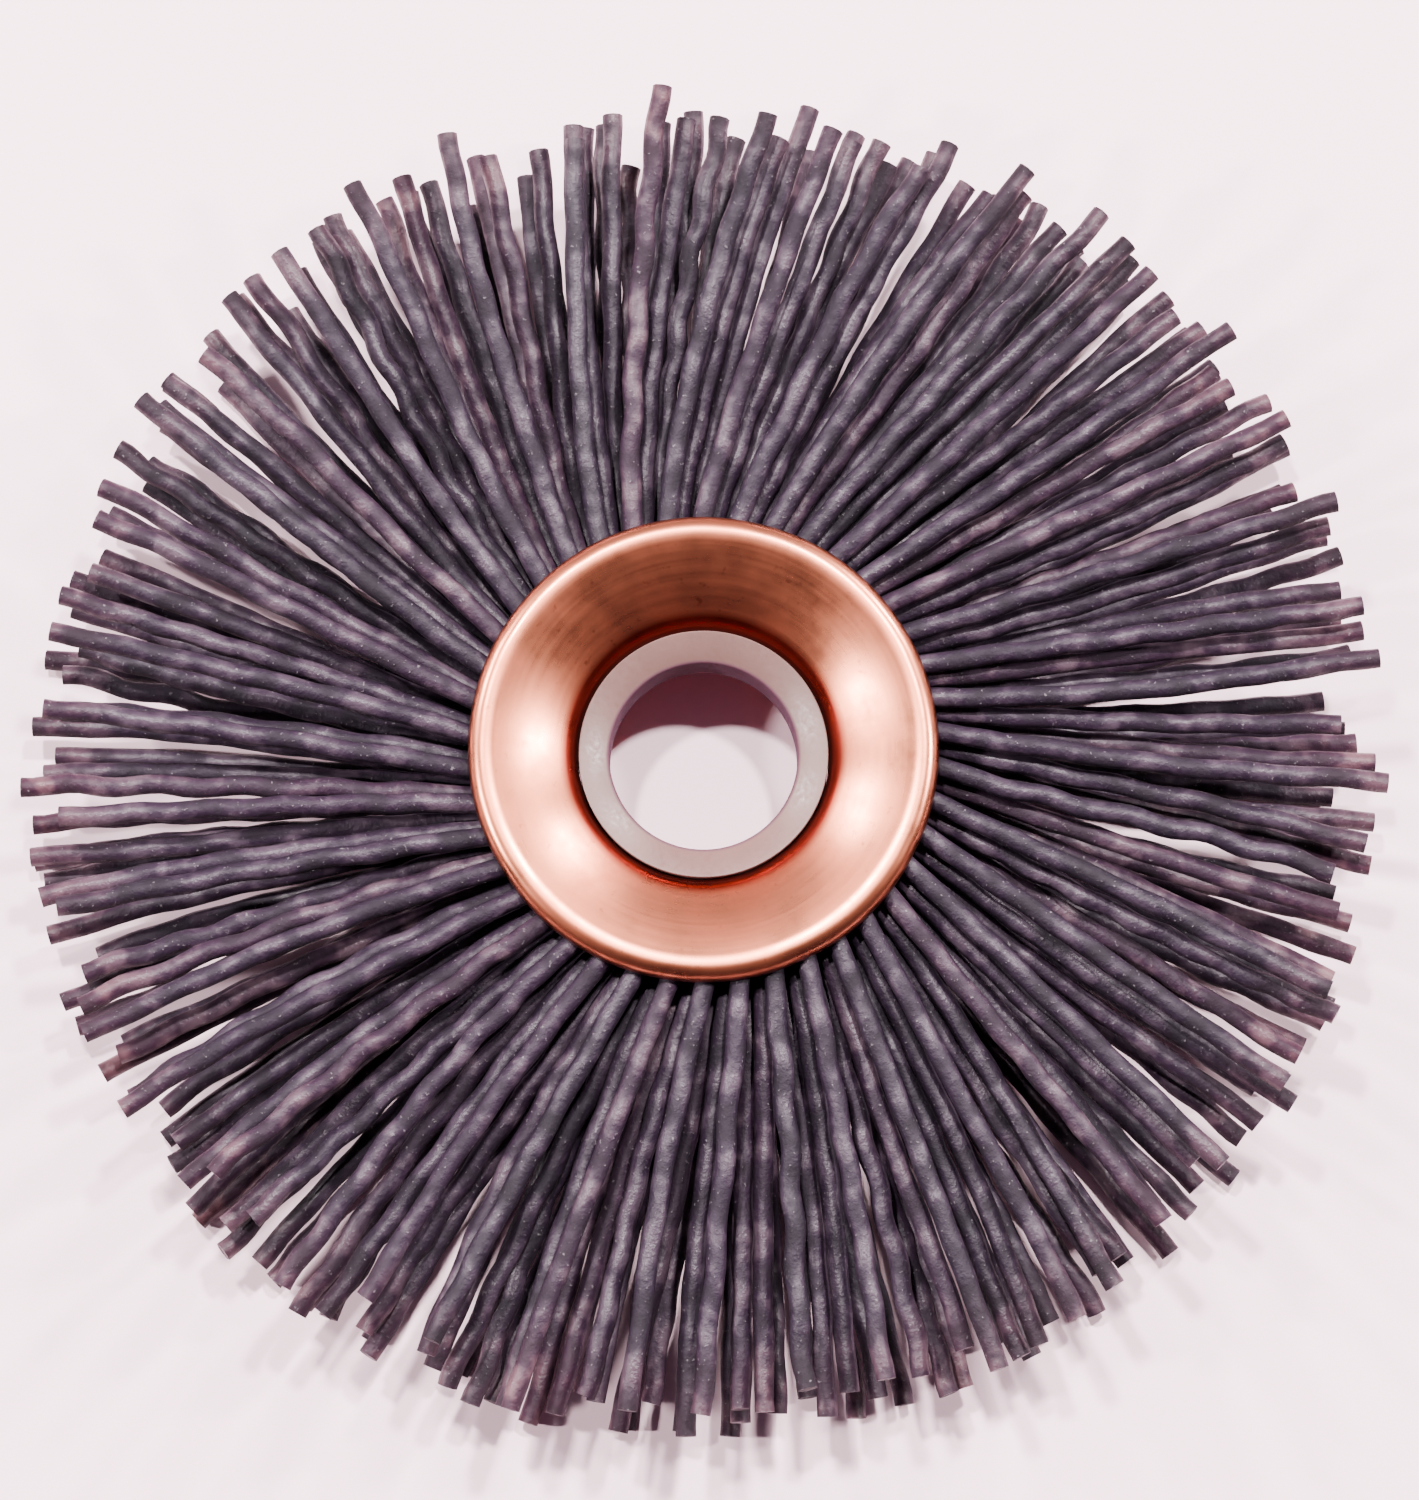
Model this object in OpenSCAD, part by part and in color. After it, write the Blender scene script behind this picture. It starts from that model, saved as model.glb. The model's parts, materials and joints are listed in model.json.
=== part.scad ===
// Small copper-centre wheel brush with crimped abrasive filaments.
// The wheel lies flat: +Z is the arbor axis, and the origin is the middle of the bore.
// All sizes are in millimetres.

/* [Wheel] */
// Diameter over the longest trimmed tips
brush_d = 69; // [57:0.5:84]
// Width of the filament face at the tips
face_w = 9.4; // [9:0.1:13]

/* [Reducer] */
// Bore that takes the arbor
arbor_d = 9.525; // [6:0.005:10.5]
// Length of the nylon sleeve
reducer_l = 4.76; // [3.5:0.01:7]
// Chamfer on the ends of the sleeve
reducer_chamfer = 0.35; // [0.2:0.05:0.6]
// Radial clearance of the sleeve in the copper
slip_gap = 0.04; // [0.02:0.01:0.08]

/* [Copper centre] */
// Bore of the copper tube without the reducer
hub_bore_d = 12.7; // [12:0.1:16]
// Wall of the copper tube
copper_wall = 0.9; // [0.7:0.05:1]
// Radius of the flared throat, on the side that shows
throat_r = 2.9; // [2.4:0.05:3.2]
// How far the face of the flange rises from the throat to its crown
dish_rise = 0.16; // [0.05:0.01:0.25]
// Width of the flat crown that the wheel rests on
crown_w = 0.35; // [0.2:0.05:0.6]
// How far the lip reaches past the core ring
lip_over = 0.9; // [0.8:0.05:1.6]

/* [Core ring] */
// Diameter of the steel wire that the filaments are folded round
core_wire_d = 1.2; // [1:0.05:1.6]

/* [Filaments] */
// Diameter of one filament
filament_d = 1.016; // [0.8:0.004:1.1]
// Number of tufts round the wheel
tuft_count = 21; // [18:1:22]
// Folded filaments side by side in each layer of a tuft
folds_per_layer = 2; // [1:1:2]
// Angle between a filament and the radius where it leaves the core ring
lean = 15; // [8:1:16]
// Height of a filament's waves, from one side to the other
wave_h = 0.4; // [0:0.05:0.6]
// How far a tip wanders sideways
tip_wander = 1.2; // [0:0.1:1.3]
// How much shorter than the longest the shortest filament is
trim_spread = 2.4; // [0:0.1:2.5]

/* [Hidden] */
$fn = 48;

// Gap between neighbouring filaments, and between a filament and the core ring
pack_gap = 0.05;
// Gap between the pack of filaments and the flanges that clamp it
clamp_gap = 0.04;
// A bend's ball is this much thicker than the filament, so that it closes the bend
knuckle = 1.04;
// How far a straight run stops short of a bend
setback = 0.1;
// Straight runs between the clamp and the tip
runs = 5;
// Layers of folds round the core ring
layers = 3;
// Seed of the scatter of the tips
scatter_seed = 64;

function hundredths(x) = round(x * 100) / 100;

// The layers of folds lie on the core wire and on each other
layer_step = filament_d + pack_gap;
function fold_radius(layer) =
    hundredths(core_wire_d / 2 / cos(lean) + pack_gap + filament_d / 2) + layer * layer_step;
outer_fold_r = fold_radius(layers - 1);
fold_count = tuft_count * folds_per_layer;
fold_step = 360 / fold_count;

// The outer folds stand shoulder to shoulder round the tube, and that sets the core ring
tube_bore_r = hub_bore_d / 2;
tube_r = tube_bore_r + copper_wall;
shoulder_r = fold_count * layer_step / (2 * PI * cos(1.6 * lean));
nearest_fold_r = max(shoulder_r, tube_r + pack_gap + filament_d / 2);
ring_r = hundredths(
    outer_fold_r * cos(lean) + sqrt(pow(nearest_fold_r, 2) - pow(outer_fold_r * sin(lean), 2))
);

// The flanges close on the pack, and that sets the length of the copper centre
flange_r = ring_r + lip_over;
hub_half = hundredths(outer_fold_r + filament_d / 2 + clamp_gap + copper_wall);
throat_centre_r = tube_bore_r + throat_r;
throat_z = hub_half - dish_rise - throat_r;
lip_centre_r = flange_r - copper_wall;
crown_r = lip_centre_r - crown_w;

// Legs of a filament, in the fold's own frame: +X runs out along the leg
clamp_x = (flange_r + filament_d) / cos(lean) - ring_r * cos(lean);
rim_step = (face_w - filament_d) / (2 * layers - 1);
// The lower legs drift half a space sideways, and so fill the gaps between the upper ones
lower_drift = brush_d / 2 * fold_step / layers / 2 * PI / 180;
tip_scatter = rands(-1, 1, 4 * layers * fold_count, scatter_seed);

function tuft_name(t) = str("filament_tuft_", t < 10 ? "0" : "", t);

// One of two scatter values, from -1 to 1, of a leg: sideways (0) or length (1)
function scatter(fold, layer, side, kind) =
    tip_scatter[((fold * layers + layer) * 2 + side) * 2 + kind];

// Distance along the leg at which it reaches radius r
function reach(r) = sqrt(pow(r, 2) - pow(ring_r * sin(lean), 2)) - ring_r * cos(lean);

// Points of one leg: the end of the fold, the bends from the clamp outwards, and the tip
function leg_points(fold, layer, side) =
    let (
        root_z = fold_radius(layer),
        rim_z = rim_step * (layer + 0.5),
        tip_r = brush_d / 2 - trim_spread * (1 + scatter(fold, layer, side, 1)) / 2,
        tip_x = reach(tip_r),
        drift = tip_wander * scatter(fold, layer, side, 0) + side * lower_drift,
        up = side == 0 ? 1 : -1
    )
    [
        [0, 0, up * root_z],
        for (k = [0 : runs])
            let (
                share = k / runs,
                wave = k == 0 ? 0 : wave_h / 2 * (k % 2 == 0 ? 1 : -1)
            )
            [
                clamp_x + (tip_x - clamp_x) * share,
                drift * pow(share, 2) + wave * up,
                up * (root_z + (rim_z - root_z) * share)
            ]
    ];

// Heading of a run: its turn down from +Z, and its turn about +Z
function tilt(run) = acos(run[2] / norm(run));
function turn(run) = atan2(run[1], run[0]);

// Run k of a leg and all that follow, along +Z. A bend stands in the frame of the run before it,
// so the ball that closes it lies on the axes of both its runs.
module leg_from(k, bends) {
    run = bends[k + 1] - bends[k];
    start = k == 0 ? 0 : setback;
    end = norm(run) - (k == runs ? 0 : setback);
    translate([0, 0, start]) cylinder(d = filament_d, h = end - start);
    if (k > 0) sphere(d = filament_d * knuckle);
    if (k < runs) {
        next = bends[k + 2] - bends[k + 1];
        translate([0, 0, norm(run)])
            rotate([0, -tilt(run), 0])
                rotate([0, tilt(next), turn(next) - turn(run)])
                    leg_from(k + 1, bends);
    }
}

module leg(fold, layer, side) {
    bends = leg_points(fold, layer, side);
    translate(bends[0]) rotate([0, tilt(bends[1] - bends[0]), 0]) leg_from(0, bends);
}

// One filament, folded in half round the core ring
module folded_filament(fold, layer) {
    rotate([0, 0, (fold + layer / layers) * fold_step])
        translate([ring_r, 0, 0])
            rotate([0, 0, -lean]) {
                rotate([90, 0, 0])
                    rotate([0, 0, 90])
                        rotate_extrude(angle = 180)
                            translate([fold_radius(layer), 0]) circle(d = filament_d);
                for (side = [0, 1]) leg(fold, layer, side);
            }
}

module filament_tuft(t) {
    color([0.26, 0.23, 0.27])
        for (k = [0 : folds_per_layer - 1], layer = [0 : layers - 1])
            folded_filament((t - 1) * folds_per_layer + k, layer);
}

// The throat curves out of the tube, and leaves a wall of the copper's thickness
module throat_section() {
    translate([throat_centre_r, throat_z])
        intersection() {
            difference() {
                circle(r = throat_r);
                circle(r = throat_r - copper_wall);
            }
            translate([-throat_r, 0]) square(throat_r);
        }
}

// Section of one flange: a shallow dish, a flat crown and a lip rolled over the pack
module flange_section() {
    top = hub_half;
    polygon([
        [throat_centre_r, top - dish_rise - copper_wall], [throat_centre_r, top - dish_rise],
        [crown_r, top], [lip_centre_r, top],
        [lip_centre_r, top - copper_wall], [crown_r, top - copper_wall]
    ]);
    translate([lip_centre_r, top - copper_wall])
        intersection() {
            circle(r = copper_wall);
            square(copper_wall);
        }
}

module copper_center() {
    color([0.80, 0.47, 0.34]) {
        difference() {
            translate([0, 0, -throat_z]) cylinder(r = tube_r, h = 2 * throat_z);
            translate([0, 0, -hub_half]) cylinder(r = tube_bore_r, h = 2 * hub_half);
        }
        for (end = [0, 1])
            mirror([0, 0, end]) {
                rotate_extrude() throat_section();
                rotate_extrude() flange_section();
            }
    }
}

module core_ring() {
    color([0.62, 0.63, 0.65])
        rotate_extrude() translate([ring_r, 0]) circle(d = core_wire_d);
}

module arbor_reducer() {
    outer = tube_bore_r - slip_gap;
    inner = arbor_d / 2;
    end = reducer_l / 2;
    c = reducer_chamfer;
    color([0.87, 0.85, 0.82])
        rotate_extrude()
            polygon([
                [inner, -end + c / 2], [inner + c / 2, -end], [outer - c, -end], [outer, -end + c],
                [outer, end - c], [outer - c, end], [inner + c / 2, end], [inner, end - c / 2]
            ]);
}

copper_center();
core_ring();
arbor_reducer();
for (t = [1 : tuft_count])
    filament_tuft(t);
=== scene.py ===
"""Small copper-centre wheel brush with crimped abrasive filaments.

The frame gives the core ring, the bore, and the size of the copper, the sleeve and the whole
wheel. The copper and the sleeve are turned here from their outlines, the filaments are bent one by
one out of straight stock, and the stage is a pale table under two lamps, with four weaker ones low
at the sides.
"""

import json
import math
import random

import bmesh
import bpy
from mathutils import Matrix, Vector, noise as field


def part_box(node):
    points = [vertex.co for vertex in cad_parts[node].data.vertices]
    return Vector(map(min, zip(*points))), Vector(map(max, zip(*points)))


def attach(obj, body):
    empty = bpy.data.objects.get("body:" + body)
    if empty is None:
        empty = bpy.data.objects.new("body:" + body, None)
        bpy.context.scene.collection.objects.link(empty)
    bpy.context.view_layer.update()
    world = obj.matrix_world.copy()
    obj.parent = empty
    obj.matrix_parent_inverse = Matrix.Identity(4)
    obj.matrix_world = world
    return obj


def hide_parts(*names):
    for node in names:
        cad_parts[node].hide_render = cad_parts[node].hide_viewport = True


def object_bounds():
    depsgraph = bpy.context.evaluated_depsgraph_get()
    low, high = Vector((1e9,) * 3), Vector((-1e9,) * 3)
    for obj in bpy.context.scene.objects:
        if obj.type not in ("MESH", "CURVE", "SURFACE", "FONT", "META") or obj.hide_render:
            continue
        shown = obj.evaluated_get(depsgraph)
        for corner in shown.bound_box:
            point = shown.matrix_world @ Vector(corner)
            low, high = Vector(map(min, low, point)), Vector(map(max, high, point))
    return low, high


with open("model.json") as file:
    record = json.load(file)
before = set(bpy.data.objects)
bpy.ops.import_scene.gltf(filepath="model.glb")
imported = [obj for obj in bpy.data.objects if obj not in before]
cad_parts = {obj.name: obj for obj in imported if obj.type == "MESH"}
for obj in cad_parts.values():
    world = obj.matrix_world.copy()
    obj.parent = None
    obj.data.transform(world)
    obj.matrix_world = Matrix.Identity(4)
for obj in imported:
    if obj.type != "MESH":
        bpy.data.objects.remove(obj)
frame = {"nodes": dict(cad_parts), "record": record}
CAD_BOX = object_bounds()

bl_info = {
    "name": "Copper-centre Wheel Brush",
    "version": (1, 0, 0),
    "blender": (4, 5, 0),
    "location": "View3D > Sidebar > Wheel Brush",
    "description": "Bends the filaments of a wheel brush, and turns and finishes its hub",
    "category": "Object",
}

MM = 0.001
BODY = "wheel"
TUFT_NODES = sorted(name for name in frame["nodes"] if name.startswith("filament_tuft_"))

# What the frame says of the wheel, in metres
RING_LOW, RING_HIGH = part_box("core_ring")
COPPER_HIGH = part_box("copper_center")[1]
SLEEVE_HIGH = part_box("arbor_reducer")[1]
WIRE_R = (RING_HIGH.z - RING_LOW.z) / 2
RING_R = RING_HIGH.x - WIRE_R
FLANGE_R = COPPER_HIGH.x
HUB_HALF = COPPER_HIGH.z
BRUSH_R = max(CAD_BOX[1].x, CAD_BOX[1].y)
ARBOR_R = next(mount["dims"]["r_mm"] for mount in frame["record"]["mounts"]
               if mount["name"] == "arbor_bore") * MM

# Azimuth and height of the lamps at the sides, in degrees
SIDE_LAMPS = ((10, 34), (45, 28), (150, 30), (187, 37))
# Sides of a filament
STOCK_SIDES = 8
# Steps round a turned piece
TURN_STEPS = 144
# Angle between two points on an arc of an outline
ARC_STEP = math.radians(6)
# A filament's thickness changes by this share, over about this length
LUMP_HEIGHT = 0.09
LUMP_LENGTH = 1.3 * MM
# Points that a guide has for each fold round the core ring, and for each wave of the crimp
FOLD_POINTS = 9
WAVE_POINTS = 7
# The crimp grows to its full height over this length past the clamp
CRIMP_RUN_IN = 2 * MM
# How far a tip strays in height, and how far a leg sways sideways, in millimetres
RIM_SCATTER = 0.35
SWAY = 0.28
# Distance and width of the two lamps overhead, and of those at the sides
LAMP_DISTANCE, LAMP_WIDTH = 600 * MM, 40 * MM
SIDE_DISTANCE, SIDE_WIDTH = 500 * MM, 36 * MM
LAMP_COLOUR = (1.0, 0.96, 0.94)
TABLE_SIZE = 1.6
# The room from the front to the back: where each colour stands, and the colour
ROOM = [(0.38, (0.09, 0.04, 0.08)), (0.54, (0.22, 0.15, 0.20)), (0.76, (1.0, 0.88, 0.94))]
ROOM_STRENGTH = 0.6
# How far the camera aims to the right of the hub, and below it
AIM_RIGHT, AIM_DOWN = 0.30 * MM, 0.20 * MM


# ---------------------------------------------------------------- settings


class FilamentSettings(bpy.types.PropertyGroup):
    """Sizes of the filaments and how untidily they lie"""

    radius: bpy.props.FloatProperty(
        name="Radius", description="Radius of one filament",
        default=0.508 * MM, min=0.3 * MM, max=0.7 * MM, unit="LENGTH", precision=5)
    layers: bpy.props.IntProperty(
        name="Layers", description="Layers of folds round the core ring", default=3, min=1, max=3)
    folds: bpy.props.IntProperty(
        name="Folds", description="Folded filaments side by side in each layer of a tuft",
        default=2, min=1, max=2)
    gap: bpy.props.FloatProperty(
        name="Gap", description="Gap between neighbouring filaments where they are clamped",
        default=0.05 * MM, min=0.0, max=0.1 * MM, unit="LENGTH", precision=5)
    lean: bpy.props.FloatProperty(
        name="Lean", description="Angle between a filament and the radius at the core ring",
        default=math.radians(15), min=0.0, max=math.radians(20), subtype="ANGLE")
    face: bpy.props.FloatProperty(
        name="Face", description="Width of the filament face at the tips",
        default=8.9 * MM, min=6 * MM, max=9.4 * MM, unit="LENGTH", precision=4)
    trim: bpy.props.FloatProperty(
        name="Trim", description="How much shorter than the longest the shortest filament is",
        default=2.4 * MM, min=0.0, max=3 * MM, unit="LENGTH", precision=4)
    crimp_pitch: bpy.props.FloatProperty(
        name="Crimp Pitch", description="Length of one wave of the crimp",
        default=4.0 * MM, min=2 * MM, max=8 * MM, unit="LENGTH", precision=4)
    crimp_height: bpy.props.FloatProperty(
        name="Crimp Height", description="How far the crimp stands off the middle of the filament",
        default=0.062 * MM, min=0.0, max=0.4 * MM, unit="LENGTH", precision=5)
    wander: bpy.props.FloatProperty(
        name="Wander", description="How far a tip wanders sideways",
        default=0.65 * MM, min=0.0, max=3 * MM, unit="LENGTH", precision=4)
    clumping: bpy.props.FloatProperty(
        name="Clumping", description="How strongly tips gather into clumps", default=0.22,
        min=0.0, max=1.0, subtype="FACTOR")
    clumps: bpy.props.IntProperty(
        name="Clumps", description="Clumps round the wheel in one layer", default=34, min=6, max=60)
    swing: bpy.props.FloatProperty(
        name="Swing", description="How far whole stretches of tips are combed to one side",
        default=1.2 * MM, min=0.0, max=3 * MM, unit="LENGTH", precision=4)
    rings: bpy.props.IntProperty(
        name="Rings", description="Cuts along a folded filament", default=90, min=16, max=120)
    seed: bpy.props.IntProperty(name="Seed", description="Seed of the scatter", default=17)


class HubSettings(bpy.types.PropertyGroup):
    """Shape of the flared copper and of the sleeve"""

    wall: bpy.props.FloatProperty(
        name="Wall", description="Thickness of the copper", default=0.5 * MM,
        min=0.3 * MM, max=0.6 * MM, unit="LENGTH", precision=4)
    slip: bpy.props.FloatProperty(
        name="Slip", description="Radial gap between the sleeve and the copper",
        default=0.04 * MM, min=0.01 * MM, max=0.1 * MM, unit="LENGTH", precision=5)
    lip: bpy.props.FloatProperty(
        name="Lip", description="Radius of the rolled lip", default=0.8 * MM,
        min=0.6 * MM, max=0.9 * MM, unit="LENGTH", precision=4)
    crown: bpy.props.FloatProperty(
        name="Crown", description="Radius that the crown is rounded to", default=1.7 * MM,
        min=0.7 * MM, max=2 * MM, unit="LENGTH", precision=4)
    throat: bpy.props.FloatProperty(
        name="Throat", description="Radius where the flare leaves the tube", default=1.4 * MM,
        min=0.8 * MM, max=2 * MM, unit="LENGTH", precision=4)
    outer_slope: bpy.props.FloatProperty(
        name="Outer Slope", description="Slope of the flare's face beside the crown",
        default=math.radians(19), min=math.radians(5), max=math.radians(30), subtype="ANGLE")
    inner_slope: bpy.props.FloatProperty(
        name="Inner Slope", description="Slope of the flare's face beside the throat",
        default=math.radians(36), min=math.radians(31), max=math.radians(50), subtype="ANGLE")
    dents: bpy.props.FloatProperty(
        name="Dents", description="Depth of the deepest dent in the lip", default=0.09 * MM,
        min=0.0, max=0.3 * MM, unit="LENGTH", precision=5)
    sleeve_dish: bpy.props.FloatProperty(
        name="Sleeve Dish", description="How deep the ends of the sleeve are dished",
        default=0.85 * MM, min=0.0, max=1 * MM, unit="LENGTH", precision=4)
    sleeve_edge: bpy.props.FloatProperty(
        name="Sleeve Edge", description="How far the edges of the sleeve are eased",
        default=0.12 * MM, min=0.02 * MM, max=0.2 * MM, unit="LENGTH", precision=5)


class FinishSettings(bpy.types.PropertyGroup):
    """Colours of the materials"""

    filament: bpy.props.FloatVectorProperty(
        name="Filament", description="Grit-loaded nylon", default=(0.0125, 0.0048, 0.0140),
        size=3, min=0, max=1, subtype="COLOR")
    # Lighter blotches on the filaments: partly scuffing, partly a painted highlight
    scuffed_and_highlight: bpy.props.FloatVectorProperty(
        name="Scuffed", description="Nylon where it is scuffed", default=(0.047, 0.031, 0.045),
        size=3, min=0, max=1, subtype="COLOR")
    grit: bpy.props.FloatVectorProperty(
        name="Grit", description="Grains that catch the light", default=(0.15, 0.13, 0.14),
        size=3, min=0, max=1, subtype="COLOR")
    copper: bpy.props.FloatVectorProperty(
        name="Copper", description="Bright copper", default=(0.80, 0.245, 0.13),
        size=3, min=0, max=1, subtype="COLOR")
    # Tarnish of the copper; also the painted shade that darkens the throat and the edge of the lip
    tarnish_and_shade: bpy.props.FloatVectorProperty(
        name="Tarnish", description="Copper where it has dulled", default=(0.20, 0.022, 0.014),
        size=3, min=0, max=1, subtype="COLOR")
    nylon: bpy.props.FloatVectorProperty(
        name="Nylon", description="Natural nylon of the sleeve", default=(0.125, 0.064, 0.058),
        size=3, min=0, max=1, subtype="COLOR")
    # Painted shade: the colour that darkens the bore of the sleeve
    painted_bore_shade: bpy.props.FloatVectorProperty(
        name="Grime", description="Nylon darkened by the arbor", default=(0.07, 0.025, 0.045),
        size=3, min=0, max=1, subtype="COLOR")
    steel: bpy.props.FloatVectorProperty(
        name="Steel", description="Drawn wire of the core ring", default=(0.52, 0.52, 0.54),
        size=3, min=0, max=1, subtype="COLOR")
    table: bpy.props.FloatVectorProperty(
        name="Table", description="Pale table top", default=(0.92, 0.63, 0.725),
        size=3, min=0, max=1, subtype="COLOR")


class StageSettings(bpy.types.PropertyGroup):
    """Camera and lights"""

    elevation: bpy.props.FloatProperty(
        name="Elevation", description="Height of the camera above the table",
        default=math.radians(81.0), min=0.0, max=math.radians(90), subtype="ANGLE")
    distance: bpy.props.FloatProperty(
        name="Distance", description="From the camera to the face of the hub",
        default=320 * MM, min=0.1, max=2.0, unit="LENGTH")
    lens: bpy.props.FloatProperty(
        name="Lens", description="Focal length in millimetres", default=153.3, min=20, max=300)
    light_spread: bpy.props.FloatProperty(
        name="Light Spread", description="Angle of each light from the middle",
        default=math.radians(12.5), min=0.0, max=math.radians(60), subtype="ANGLE")
    light_tilt: bpy.props.FloatProperty(
        name="Light Tilt", description="Angle of the lights behind the upright",
        default=math.radians(21), min=0.0, max=math.radians(60), subtype="ANGLE")
    light_power: bpy.props.FloatProperty(
        name="Light Power", description="Power of each light in watts", default=7.2, min=0, max=100)
    side_power: bpy.props.FloatProperty(
        name="Side Power", description="Power of each side lamp in watts", default=3.4,
        min=0, max=100)


# ---------------------------------------------------------------- helpers


def deselect():
    """Nothing selected, in object mode"""
    if bpy.context.object and bpy.context.object.mode != "OBJECT":
        bpy.ops.object.mode_set(mode="OBJECT")
    bpy.ops.object.select_all(action="DESELECT")


def select_only(*objects):
    """Selects these, and makes the first of them active"""
    deselect()
    for obj in objects:
        obj.select_set(True)
    bpy.context.view_layer.objects.active = objects[0]


def new_material(name):
    """A material with its node tree, its node maker and its shader"""
    material = bpy.data.materials.new(name)
    material.use_nodes = True
    tree = material.node_tree
    return material, tree, tree.nodes["Principled BSDF"]


def noise(tree, place, scale, detail=2.0, roughness=0.5):
    """Noise at a place, which is an output socket"""
    node = tree.nodes.new("ShaderNodeTexNoise")
    node.inputs["Scale"].default_value = scale
    node.inputs["Detail"].default_value = detail
    node.inputs["Roughness"].default_value = roughness
    tree.links.new(place, node.inputs["Vector"])
    return node.outputs["Fac"]


def ramp(tree, value, stops):
    """A value turned into colour or grey by stops of (position, colour)"""
    node = tree.nodes.new("ShaderNodeValToRGB")
    elements = node.color_ramp.elements
    while len(elements) < len(stops):
        elements.new(1.0)
    for element, (position, colour) in zip(elements, stops):
        element.position = position
        element.color = (*colour, 1.0) if len(colour) == 3 else colour
    tree.links.new(value, node.inputs["Fac"])
    return node.outputs["Color"]


def grey(level):
    """A grey of this level"""
    return (level, level, level)


def remap(tree, value, low, high, to_low, to_high):
    """A value moved from one range into another, and held there"""
    node = tree.nodes.new("ShaderNodeMapRange")
    for name, number in (("From Min", low), ("From Max", high),
                         ("To Min", to_low), ("To Max", to_high)):
        node.inputs[name].default_value = number
    tree.links.new(value, node.inputs["Value"])
    return node.outputs["Result"]


def mix(tree, share, first, second, blend="MIX"):
    """Two colours mixed; each of the three may be a socket or a constant"""
    node = tree.nodes.new("ShaderNodeMix")
    node.data_type = "RGBA"
    node.blend_type = blend
    for socket, value in ((node.inputs[0], share), (node.inputs[6], first),
                          (node.inputs[7], second)):
        if isinstance(value, bpy.types.NodeSocket):
            tree.links.new(value, socket)
        else:
            socket.default_value = value if isinstance(value, float) else (*value, 1.0)
    return node.outputs[2]


def arithmetic(tree, operation, first, second):
    """One sum on two values; each may be a socket or a number"""
    node = tree.nodes.new("ShaderNodeMath")
    node.operation = operation
    for socket, value in zip(node.inputs, (first, second)):
        if isinstance(value, bpy.types.NodeSocket):
            tree.links.new(value, socket)
        else:
            socket.default_value = value
    return node.outputs["Value"]


def bump(tree, shader, height, strength, distance):
    """Raises the surface by a height"""
    node = tree.nodes.new("ShaderNodeBump")
    node.inputs["Strength"].default_value = strength
    node.inputs["Distance"].default_value = distance
    tree.links.new(height, node.inputs["Height"])
    tree.links.new(node.outputs["Normal"], shader.inputs["Normal"])


def object_place(tree):
    """The place on the object, in metres"""
    return tree.nodes.new("ShaderNodeTexCoord").outputs["Object"]


def wheel_radius(tree, place):
    """The distance from the arbor axis, in metres"""
    flat = tree.nodes.new("ShaderNodeVectorMath")
    flat.operation = "MULTIPLY"
    flat.inputs[1].default_value = (1.0, 1.0, 0.0)
    tree.links.new(place, flat.inputs[0])
    length = tree.nodes.new("ShaderNodeVectorMath")
    length.operation = "LENGTH"
    tree.links.new(flat.outputs["Vector"], length.inputs[0])
    return length.outputs["Value"]


def ring_place(tree, place, radius):
    """A place for marks that run round the axis: radius and height, with little change along"""
    parts = tree.nodes.new("ShaderNodeSeparateXYZ")
    tree.links.new(place, parts.inputs[0])
    joined = tree.nodes.new("ShaderNodeCombineXYZ")
    tree.links.new(radius, joined.inputs["X"])
    tree.links.new(parts.outputs["Z"], joined.inputs["Y"])
    turn = arithmetic(tree, "ARCTAN2", parts.outputs["Y"], parts.outputs["X"])
    tree.links.new(arithmetic(tree, "MULTIPLY", turn, 0.00025), joined.inputs["Z"])
    return joined.outputs["Vector"]


# ---------------------------------------------------------------- materials


def filament_material(colours):
    """Grit-loaded nylon: dull purple-grey, with grains that catch the light"""
    material, tree, shader = new_material("grit_nylon")
    place = object_place(tree)
    tone = tree.nodes.new("ShaderNodeAttribute")
    tone.attribute_name = "tone"
    base, scuffed_and_highlight = Vector(colours.filament), Vector(colours.scuffed_and_highlight)
    # Lighter blotches at random along the filaments: partly scuffing, partly a painted highlight;
    # they are glossier too
    blotches = noise(tree, place, 560.0, 2.0, 0.55)
    mottled = ramp(tree, blotches, [(0.34, base * 0.55), (0.50, base), (0.66, scuffed_and_highlight)])
    tones = ramp(tree, tone.outputs["Fac"], [(0.0, (0.60, 0.58, 0.66)), (0.7, (1.05, 1.02, 1.05)),
                                             (1.0, (1.55, 1.35, 1.25))])
    toned = mix(tree, 1.0, mottled, tones, "MULTIPLY")
    # Lighter and warmer towards the tips, over the last 5 mm of the wheel's radius
    radius_share = remap(tree, wheel_radius(tree, place), BRUSH_R - 5 * MM, BRUSH_R, 0.0, 1.0)
    toned = mix(tree, 1.0, toned, ramp(tree, radius_share, [(0.0, grey(1.0)), (1.0, (1.6, 1.15, 1.05))]),
                "MULTIPLY")
    grains = noise(tree, place, 4400.0, 2.0, 0.6)
    grain_share = ramp(tree, grains, [(0.66, grey(0.0)), (0.76, grey(0.6))])
    speckled = mix(tree, grain_share, toned, colours.grit)
    tree.links.new(speckled, shader.inputs["Base Color"])
    tree.links.new(remap(tree, blotches, 0.36, 0.66, 0.75, 0.38), shader.inputs["Roughness"])
    shader.inputs["IOR"].default_value = 1.50
    shader.inputs["Specular IOR Level"].default_value = 0.24
    height = arithmetic(tree, "ADD", arithmetic(tree, "MULTIPLY", blotches, 2.5), grains)
    bump(tree, shader, height, 0.7, 0.08 * MM)
    return material


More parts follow.
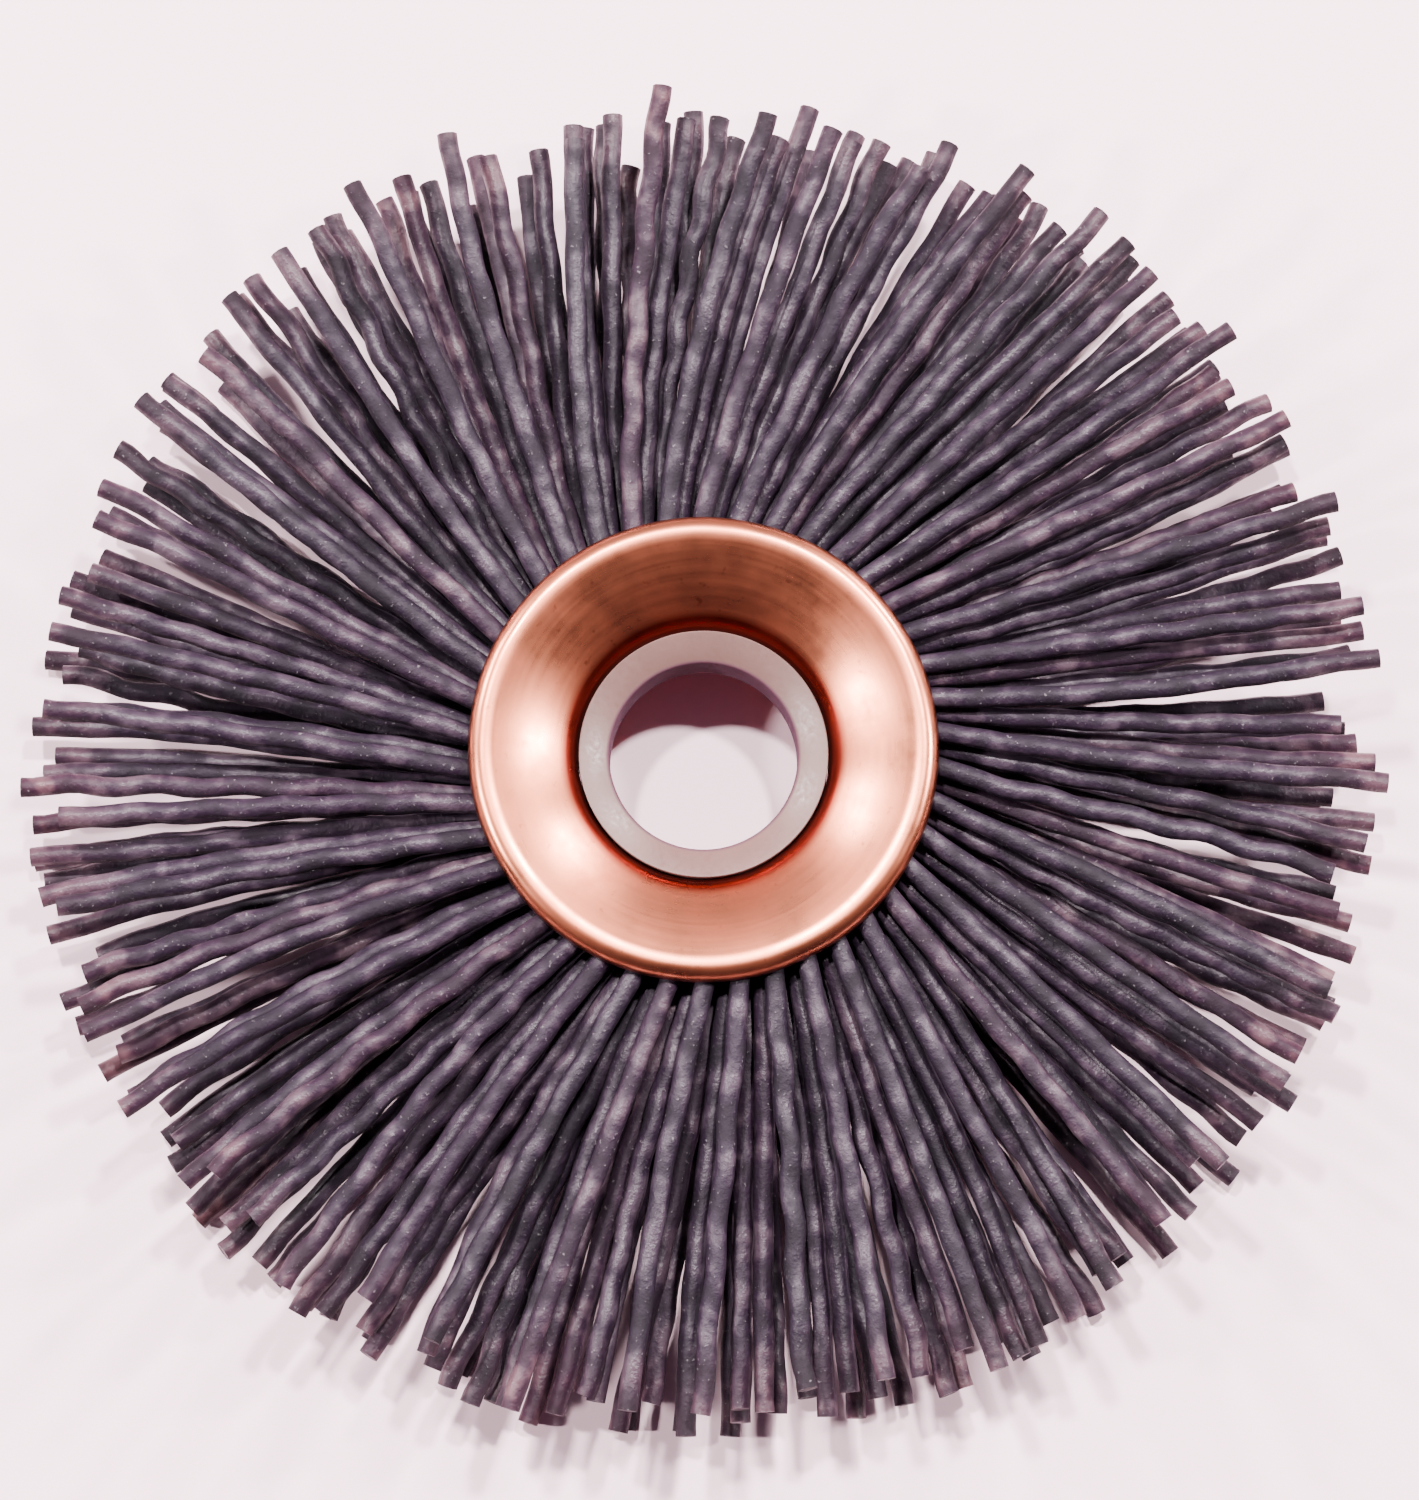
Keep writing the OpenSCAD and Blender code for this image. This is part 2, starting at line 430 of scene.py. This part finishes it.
def copper_material(colours):
    """Copper tube: drawn and spun marks, with patches of tarnish, and darkened with painted shade
    down the throat and at the edge of the lip
    """
    material, tree, shader = new_material("spun_copper")
    place = object_place(tree)
    radius = wheel_radius(tree, place)
    spun = noise(tree, ring_place(tree, place, radius), 3500.0, 3.0, 0.6)
    cloud = noise(tree, place, 260.0, 4.0, 0.6)
    specks = noise(tree, place, 1700.0, 2.0, 0.55)
    dulled = ramp(tree, cloud, [(0.38, grey(0.0)), (0.72, grey(0.55))])
    surface = mix(tree, dulled, colours.copper, colours.tarnish_and_shade)
    # Painted shade: darker in a ring down the throat next to the sleeve, and at the outermost edge
    # of the lip
    throat = remap(tree, radius, SLEEVE_HIGH.x + 0.6 * MM, SLEEVE_HIGH.x + 1.0 * MM, 1.0, 0.0)
    lip = remap(tree, radius, FLANGE_R - 0.18 * MM, FLANGE_R - 0.02 * MM, 0.0, 0.9)
    with_edge_shade = mix(tree, arithmetic(tree, "MAXIMUM", throat, lip), surface, colours.tarnish_and_shade)
    spots = ramp(tree, specks, [(0.66, grey(0.0)), (0.78, grey(0.5))])
    spotted = mix(tree, spots, with_edge_shade, colours.tarnish_and_shade)
    tree.links.new(spotted, shader.inputs["Base Color"])
    shader.inputs["Metallic"].default_value = 1.0
    patchy = arithmetic(tree, "ADD", arithmetic(tree, "MULTIPLY", spun, 0.25), cloud)
    tree.links.new(remap(tree, patchy, 0.4, 0.85, 0.22, 0.38), shader.inputs["Roughness"])
    bump(tree, shader, arithmetic(tree, "ADD", spun, arithmetic(tree, "MULTIPLY", specks, 0.5)),
         0.02, 0.03 * MM)
    return material


def nylon_material(colours):
    """Natural nylon: milky, with a faint moulded grain, and duller in the bore, which is darkened
    with painted shade
    """
    material, tree, shader = new_material("moulded_nylon")
    place = object_place(tree)
    cloud = noise(tree, place, 340.0, 3.0, 0.5)
    grain = noise(tree, place, 4200.0, 2.0, 0.5)
    base = Vector(colours.nylon)
    face = ramp(tree, cloud, [(0.3, base * 0.90), (0.7, base * 1.04)])
    # Painted shade: dark in the bore, which is also made rougher and less glossy there
    radius_share = remap(tree, wheel_radius(tree, place), ARBOR_R + 0.03 * MM, ARBOR_R + 0.2 * MM, 1.0, 0.0)
    tree.links.new(mix(tree, radius_share, face, colours.painted_bore_shade), shader.inputs["Base Color"])
    polished = remap(tree, grain, 0.3, 0.7, 0.34, 0.50)
    tree.links.new(arithmetic(tree, "ADD", polished, arithmetic(tree, "MULTIPLY", radius_share, 0.45)),
                   shader.inputs["Roughness"])
    tree.links.new(remap(tree, radius_share, 0.0, 1.0, 0.5, 0.15), shader.inputs["Specular IOR Level"])
    shader.inputs["IOR"].default_value = 1.53
    shader.inputs["Subsurface Weight"].default_value = 0.05
    shader.inputs["Subsurface Radius"].default_value = (1.0, 0.8, 0.7)
    shader.inputs["Subsurface Scale"].default_value = 0.8 * MM
    bump(tree, shader, grain, 0.2, 0.02 * MM)
    return material


def steel_material(colours):
    """Drawn steel wire, with marks along it"""
    material, tree, shader = new_material("drawn_steel")
    place = object_place(tree)
    radius = wheel_radius(tree, place)
    drawn = noise(tree, ring_place(tree, place, radius), 12000.0, 2.0, 0.5)
    base = Vector(colours.steel)
    tree.links.new(ramp(tree, drawn, [(0.3, base * 0.75), (0.7, base * 1.1)]),
                   shader.inputs["Base Color"])
    shader.inputs["Metallic"].default_value = 1.0
    tree.links.new(remap(tree, drawn, 0.3, 0.7, 0.25, 0.42), shader.inputs["Roughness"])
    bump(tree, shader, drawn, 0.2, 0.02 * MM)
    return material


def table_material(colours):
    """Smooth pale table top"""
    material, tree, shader = new_material("pale_table")
    cloud = noise(tree, object_place(tree), 18.0, 3.0, 0.5)
    base = Vector(colours.table)
    tree.links.new(ramp(tree, cloud, [(0.3, base * 0.97), (0.7, base * 1.02)]),
                   shader.inputs["Base Color"])
    shader.inputs["Roughness"].default_value = 0.6
    return material


# ---------------------------------------------------------------- turned pieces


def arc(start, heading, radius, bend):
    """Points after the start of an arc, and its last heading; a left bend is positive"""
    side = math.copysign(math.pi / 2, bend)
    centre = start + radius * Vector((math.cos(heading + side), math.sin(heading + side)))
    steps = max(2, math.ceil(abs(bend) / ARC_STEP))
    points = []
    for k in range(1, steps + 1):
        turned = heading + bend * k / steps - side
        points.append(centre + radius * Vector((math.cos(turned), math.sin(turned))))
    return points, heading + bend


def flare_face(size, tube_r, depth):
    """Face of the flare from the lip to the tube, at a depth below the copper's skin"""
    reach_in = FLANGE_R - size.lip - tube_r
    outer, inner = math.sin(size.outer_slope), math.sin(size.inner_slope)
    dish = (reach_in - size.crown * outer - size.throat * (1 - inner)) / (inner - outer)
    points = [Vector((FLANGE_R - size.lip, HUB_HALF - depth))]
    heading = math.pi
    for radius, slope in ((size.crown, size.outer_slope), (dish, size.inner_slope),
                          (size.throat, math.pi / 2)):
        run, heading = arc(points[-1], heading, radius - depth, math.pi + slope - heading)
        points += run
    return points


def copper_outline(size):
    """Outline of the copper's wall: radius and height, upper half and then lower half"""
    tube_r = SLEEVE_HIGH.x + size.slip
    lip_start = Vector((FLANGE_R - size.lip, HUB_HALF))
    lip, heading = arc(lip_start, 0.0, size.lip, -math.pi / 2)
    edge, heading = arc(lip[-1], heading, size.wall / 2, -math.pi)
    under, heading = arc(edge[-1], heading, size.lip - size.wall, math.pi / 2)
    upper = flare_face(size, tube_r, 0.0)[::-1] + lip + edge + under[:-1]
    upper += flare_face(size, tube_r, size.wall)
    return upper + [Vector((point.x, -point.y)) for point in reversed(upper)]


def sleeve_outline(size):
    """Outline of the sleeve's wall, with dished ends"""
    outer, top = SLEEVE_HIGH.x, SLEEVE_HIGH.z
    return [Vector((outer, top)), Vector((ARBOR_R, top - size.sleeve_dish)),
            Vector((ARBOR_R, size.sleeve_dish - top)), Vector((outer, -top))]


def turned(name, outline):
    """A solid turned round the arbor axis from a closed outline"""
    deselect()
    bpy.ops.mesh.primitive_circle_add(vertices=len(outline), radius=FLANGE_R)
    piece = bpy.context.object
    piece.name = name
    for vertex, point in zip(piece.data.vertices, outline):
        vertex.co = (point.x, 0.0, point.y)
    screw = piece.modifiers.new("turn", "SCREW")
    screw.steps = TURN_STEPS
    screw.render_steps = TURN_STEPS
    screw.use_merge_vertices = True
    screw.merge_threshold = 0.001 * MM
    bpy.ops.object.modifier_apply(modifier="turn")
    bpy.ops.object.mode_set(mode="EDIT")
    bpy.ops.mesh.select_all(action="SELECT")
    bpy.ops.mesh.normals_make_consistent(inside=False)
    bpy.ops.object.mode_set(mode="OBJECT")
    return piece


def dent_lip(piece, size):
    """Shallow dents, and a lip that isn't quite round"""
    lip_start = FLANGE_R - 2 * size.lip
    for vertex in piece.data.vertices:
        flat = Vector((vertex.co.x, vertex.co.y, 0.0))
        share = max(0.0, (flat.length - lip_start) / (FLANGE_R - lip_start))
        slow = field.noise(flat.normalized() * 3.0 + Vector((0, 0, 5)))
        nick = max(0.0, field.noise(vertex.co / (1.4 * MM)) - 0.25)
        depth = size.dents * (0.35 * (slow + 0.6) + nick) * share
        vertex.co -= flat.normalized() * max(0.0, depth)


# ---------------------------------------------------------------- filaments


def clump_angles(rng, count):
    """Middles of the clumps round the wheel, unevenly spaced"""
    step = math.tau / count
    return [(k + rng.uniform(-0.38, 0.38)) * step for k in range(count)]


def nearest_turn(angle, centres):
    """The shortest turn from an angle to any of the centres"""
    turns = [(centre - angle + math.pi) % math.tau - math.pi for centre in centres]
    return min(turns, key=abs)


def reach(radius, lean):
    """Distance along a leg at which it comes to this radius of the wheel"""
    return math.sqrt(radius**2 - (RING_R * math.sin(lean)) ** 2) - RING_R * math.cos(lean)


def leg_guide(rng, size, fold_r, layer, up, angle, centres, folds_round):
    """Points of one leg from the clamp to the tip, in the fold's own frame: +X runs out

    Only the upper legs gather into clumps. The lower ones lie half a space to the side of them.
    """
    start = (FLANGE_R + size.radius) / math.cos(size.lean) - RING_R * math.cos(size.lean)
    short = rng.random()
    tip_r = BRUSH_R - size.trim * short**1.4
    end = reach(tip_r, size.lean)
    rim_z = (size.face - 2 * size.radius) / (2 * size.layers - 1) * (layer + 0.5)
    rim_z += rng.uniform(-RIM_SCATTER, RIM_SCATTER) * MM
    most_z = HUB_HALF - size.radius * 1.15
    pull = size.clumping if up > 0 else 0.0
    tip_turn = nearest_turn(angle - size.lean * 0.65, centres) * pull
    drift = rng.uniform(-1, 1) * size.wander + tip_turn * tip_r
    drift += size.swing * (math.sin(angle * 2 + 0.6) - math.sin(angle))
    if up < 0:
        drift += tip_r * math.tau / folds_round / size.layers / 2
    sway, sway_phase = rng.uniform(0, SWAY) * MM, rng.uniform(0, math.tau)
    height = size.crimp_height * rng.choice((0.5, 0.8, 1.0, 1.2, 2.0)) * rng.uniform(0.8, 1.2)
    pitch = size.crimp_pitch * rng.uniform(0.75, 1.35)
    phase, side = rng.uniform(0, math.tau), rng.uniform(-0.9, 0.9)
    steps = round((end - start) / (pitch / WAVE_POINTS))
    points = []
    for k in range(steps + 1):
        share = k / steps
        along = start + (end - start) * share
        grown = min(1.0, (along - start) / CRIMP_RUN_IN)
        wave = height * grown * math.sin(math.tau * (along - start) / pitch + phase)
        swayed = sway * share * math.sin(math.pi * 1.6 * share + sway_phase)
        y = drift * share**1.5 + swayed + wave * math.cos(side)
        z = fold_r + (rim_z - fold_r) * share**0.9 + wave * math.sin(side)
        points.append(Vector((along, y, up * min(z, most_z))))
    return points


def filament_guide(rng, size, fold, layer, folds_round, centres):
    """Points of one folded filament, from its lower tip round the core ring to its upper tip"""
    step = math.tau / folds_round
    angle = (fold + layer / size.layers) * step
    fold_r = WIRE_R / math.cos(size.lean) + size.gap + size.radius
    fold_r += layer * (2 * size.radius + size.gap)
    upper = leg_guide(rng, size, fold_r, layer, 1, angle, centres[layer, 1], folds_round)
    lower = leg_guide(rng, size, fold_r, layer, -1, angle, centres[layer, -1], folds_round)
    bend = []
    for k in range(FOLD_POINTS):
        turn = math.pi * (1.5 - k / (FOLD_POINTS - 1))
        bend.append(Vector((fold_r * math.cos(turn), 0.0, fold_r * math.sin(turn))))
    place = (Matrix.Rotation(angle, 4, "Z") @ Matrix.Translation((RING_R, 0, 0))
             @ Matrix.Rotation(-size.lean, 4, "Z"))
    return [place @ point for point in lower[::-1] + bend + upper]


def straight_stock(size):
    """A straight filament one metre long along +X, cut into rings"""
    deselect()
    bpy.ops.mesh.primitive_cylinder_add(
        vertices=STOCK_SIDES, radius=size.radius, depth=1.0, end_fill_type="NGON",
        location=(0.5, 0, 0), rotation=(0, math.pi / 2, 0))
    stock = bpy.context.object
    bpy.ops.object.transform_apply(location=True, rotation=True, scale=True)
    bpy.ops.object.mode_set(mode="EDIT")
    bpy.ops.mesh.select_all(action="DESELECT")
    bpy.ops.mesh.select_mode(type="EDGE")
    work = bmesh.from_edit_mesh(stock.data)
    for edge in work.edges:
        edge.select_set(edge.calc_length() > 0.5)
    bmesh.update_edit_mesh(stock.data)
    bpy.ops.mesh.subdivide(number_cuts=size.rings)
    bpy.ops.object.mode_set(mode="OBJECT")
    return stock


def bent_filament(stock, points, name, tone):
    """A copy of the stock, cut to length and bent along a guide"""
    length = sum((b - a).length for a, b in zip(points, points[1:]))
    curve = bpy.data.curves.new(name + "_guide", "CURVE")
    curve.dimensions = "3D"
    spline = curve.splines.new("POLY")
    spline.points.add(len(points) - 1)
    for slot, point in zip(spline.points, points):
        slot.co = (*point, 1.0)
    guide = bpy.data.objects.new(name + "_guide", curve)
    bpy.context.collection.objects.link(guide)
    piece = stock.copy()
    piece.name = name
    piece.data = stock.data.copy()
    bpy.context.collection.objects.link(piece)
    piece.data.transform(Matrix.Diagonal((length, 1.0, 1.0, 1.0)))
    for vertex in piece.data.vertices:
        lump = field.noise(Vector((vertex.co.x / LUMP_LENGTH, tone * 97.0, 0.0)))
        vertex.co.yz *= 1.0 + LUMP_HEIGHT * min(0.8, lump)
    bending = piece.modifiers.new("bend", "CURVE")
    bending.object = guide
    bending.deform_axis = "POS_X"
    select_only(piece)
    bpy.ops.object.modifier_apply(modifier="bend")
    values = piece.data.attributes.new("tone", "FLOAT", "POINT")
    values.data.foreach_set("value", [tone] * len(piece.data.vertices))
    bpy.data.objects.remove(guide)
    bpy.data.curves.remove(curve)
    return piece


# ---------------------------------------------------------------- operators


class WHEELBRUSH_OT_filaments(bpy.types.Operator):
    """Bends every filament and joins them into tufts that stand for the frame's tufts"""

    bl_idname = "wheelbrush.filaments"
    bl_label = "Filaments"

    def execute(self, context):
        size = context.scene.wheelbrush_filaments
        finish = filament_material(context.scene.wheelbrush_finishes)
        rng = random.Random(size.seed)
        centres = {(layer, up): clump_angles(rng, size.clumps)
                   for layer in range(size.layers) for up in (1, -1)}
        stock = straight_stock(size)
        folds_round = len(TUFT_NODES) * size.folds
        for number, node in enumerate(TUFT_NODES):
            filaments = []
            for k in range(size.folds):
                for layer in range(size.layers):
                    fold = number * size.folds + k
                    points = filament_guide(rng, size, fold, layer, folds_round, centres)
                    name = f"filament_{number + 1:02d}_{k}_{layer}"
                    filaments.append(bent_filament(stock, points, name, rng.random()))
            select_only(*filaments)
            bpy.ops.object.join()
            tuft = bpy.context.object
            tuft.name = f"crimped_tuft_{number + 1:02d}"
            bpy.ops.object.shade_smooth_by_angle(angle=math.radians(50))
            tuft.data.materials.clear()
            tuft.data.materials.append(finish)
            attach(tuft, BODY)
            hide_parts(node)
        bpy.data.objects.remove(stock)
        return {"FINISHED"}


class WHEELBRUSH_OT_copper(bpy.types.Operator):
    """Turns the flared copper centre, dents its lip and gives it its finish"""

    bl_idname = "wheelbrush.copper"
    bl_label = "Copper"

    def execute(self, context):
        size = context.scene.wheelbrush_hub
        copper = turned("flared_copper", copper_outline(size))
        dent_lip(copper, size)
        bpy.ops.object.shade_smooth_by_angle(angle=math.radians(40))
        copper.data.materials.append(copper_material(context.scene.wheelbrush_finishes))
        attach(copper, BODY)
        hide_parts("copper_center")
        return {"FINISHED"}


class WHEELBRUSH_OT_sleeve(bpy.types.Operator):
    """Turns the nylon sleeve, eases its edges and gives it its finish"""

    bl_idname = "wheelbrush.sleeve"
    bl_label = "Sleeve"

    def execute(self, context):
        size = context.scene.wheelbrush_hub
        sleeve = turned("dished_sleeve", sleeve_outline(size))
        edges = sleeve.modifiers.new("edges", "BEVEL")
        edges.width = size.sleeve_edge
        edges.segments = 3
        edges.limit_method = "ANGLE"
        edges.angle_limit = math.radians(30)
        bpy.ops.object.modifier_apply(modifier="edges")
        bpy.ops.object.shade_smooth_by_angle(angle=math.radians(35))
        sleeve.data.materials.append(nylon_material(context.scene.wheelbrush_finishes))
        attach(sleeve, "reducer")
        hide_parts("arbor_reducer")
        return {"FINISHED"}


class WHEELBRUSH_OT_core(bpy.types.Operator):
    """Finishes the frame's core ring as drawn steel"""

    bl_idname = "wheelbrush.core"
    bl_label = "Core Ring"

    def execute(self, context):
        finish = steel_material(context.scene.wheelbrush_finishes)
        for slot in frame["nodes"]["core_ring"].material_slots:
            slot.material = finish
        return {"FINISHED"}


class WHEELBRUSH_OT_stage(bpy.types.Operator):
    """Lays the wheel on a pale table in a pale room, and adds the camera and the lamps"""

    bl_idname = "wheelbrush.stage"
    bl_label = "Stage"

    def execute(self, context):
        stage = context.scene.wheelbrush_stage
        deselect()
        bpy.ops.mesh.primitive_plane_add(size=TABLE_SIZE, location=(0, 0, CAD_BOX[0].z))
        table = context.object
        table.name = "table"
        table.data.materials.append(table_material(context.scene.wheelbrush_finishes))
        hub = Vector((0, 0, HUB_HALF))
        self.add_camera(context, stage, hub)
        for side in (-1, 1):
            toward = Vector((side * math.tan(stage.light_spread), math.tan(stage.light_tilt), 1.0))
            self.add_light(hub, toward, LAMP_DISTANCE, LAMP_WIDTH, stage.light_power)
        for azimuth, height in SIDE_LAMPS:
            turn, rise = math.radians(azimuth), math.radians(height)
            toward = Vector((math.cos(turn), math.sin(turn), math.tan(rise)))
            self.add_light(hub, toward, SIDE_DISTANCE, SIDE_WIDTH, stage.side_power)
        self.add_room(context)
        return {"FINISHED"}

    def add_room(self, context):
        """A room that is dark in front of the wheel and pale behind it"""
        world = bpy.data.worlds.new("pale_room")
        world.use_nodes = True
        tree = world.node_tree
        across = tree.nodes.new("ShaderNodeSeparateXYZ")
        tree.links.new(tree.nodes.new("ShaderNodeTexCoord").outputs["Generated"], across.inputs[0])
        sky = tree.nodes["Background"]
        share = remap(tree, across.outputs["Y"], -1.0, 1.0, 0.0, 1.0)
        tree.links.new(ramp(tree, share, ROOM), sky.inputs["Color"])
        sky.inputs["Strength"].default_value = ROOM_STRENGTH
        context.scene.world = world

    def add_camera(self, context, stage, hub):
        """A camera that looks down at the hub from the front"""
        back = Vector((0, -math.cos(stage.elevation), math.sin(stage.elevation)))
        upward = Vector((0, math.sin(stage.elevation), math.cos(stage.elevation)))
        aim = hub + Vector((AIM_RIGHT, 0, 0)) - upward * AIM_DOWN
        data = bpy.data.cameras.new("camera")
        data.lens = stage.lens
        data.sensor_width = 36.0
        data.clip_start = 0.01
        camera = bpy.data.objects.new("camera", data)
        context.collection.objects.link(camera)
        camera.location = aim + back * stage.distance
        camera.rotation_euler = (-back).to_track_quat("-Z", "Y").to_euler()
        context.scene.camera = camera

    def add_light(self, hub, toward, distance, width, power):
        """A round lamp at a distance from the hub, turned to face it"""
        data = bpy.data.lights.new("lamp", "AREA")
        data.shape = "DISK"
        data.size = width
        data.energy = power
        data.color = LAMP_COLOUR
        light = bpy.data.objects.new("lamp", data)
        bpy.context.collection.objects.link(light)
        light.location = hub + toward.normalized() * distance
        light.rotation_euler = (-toward).to_track_quat("-Z", "Y").to_euler()


class WHEELBRUSH_PT_panel(bpy.types.Panel):
    """The steps that make the wheel brush, in order"""

    bl_idname = "WHEELBRUSH_PT_panel"
    bl_label = "Wheel Brush"
    bl_space_type = "VIEW_3D"
    bl_region_type = "UI"
    bl_category = "Wheel Brush"

    def draw(self, context):
        scene = context.scene
        for title, group, operator in (
                ("Filaments", scene.wheelbrush_filaments, WHEELBRUSH_OT_filaments),
                ("Hub", scene.wheelbrush_hub, WHEELBRUSH_OT_copper),
                ("Sleeve", None, WHEELBRUSH_OT_sleeve),
                ("Finishes", scene.wheelbrush_finishes, WHEELBRUSH_OT_core),
                ("Stage", scene.wheelbrush_stage, WHEELBRUSH_OT_stage)):
            box = self.layout.box()
            box.label(text=title)
            for name in group.__annotations__ if group else ():
                box.prop(group, name)
            box.operator(operator.bl_idname)


CLASSES = (
    FilamentSettings,
    HubSettings,
    FinishSettings,
    StageSettings,
    WHEELBRUSH_OT_filaments,
    WHEELBRUSH_OT_copper,
    WHEELBRUSH_OT_sleeve,
    WHEELBRUSH_OT_core,
    WHEELBRUSH_OT_stage,
    WHEELBRUSH_PT_panel,
)


def register():
    """Registers the classes and the settings"""
    for cls in CLASSES:
        bpy.utils.register_class(cls)
    bpy.types.Scene.wheelbrush_filaments = bpy.props.PointerProperty(type=FilamentSettings)
    bpy.types.Scene.wheelbrush_hub = bpy.props.PointerProperty(type=HubSettings)
    bpy.types.Scene.wheelbrush_finishes = bpy.props.PointerProperty(type=FinishSettings)
    bpy.types.Scene.wheelbrush_stage = bpy.props.PointerProperty(type=StageSettings)


def unregister():
    """Removes the settings and the classes"""
    del bpy.types.Scene.wheelbrush_stage
    del bpy.types.Scene.wheelbrush_finishes
    del bpy.types.Scene.wheelbrush_hub
    del bpy.types.Scene.wheelbrush_filaments
    for cls in reversed(CLASSES):
        bpy.utils.unregister_class(cls)


def main():
    """Makes the wheel brush on its stage"""
    register()
    bpy.ops.wheelbrush.filaments()
    bpy.ops.wheelbrush.copper()
    bpy.ops.wheelbrush.sleeve()
    bpy.ops.wheelbrush.core()
    bpy.ops.wheelbrush.stage()
    bpy.context.view_layer.update()


if __name__ == "__main__":
    main()
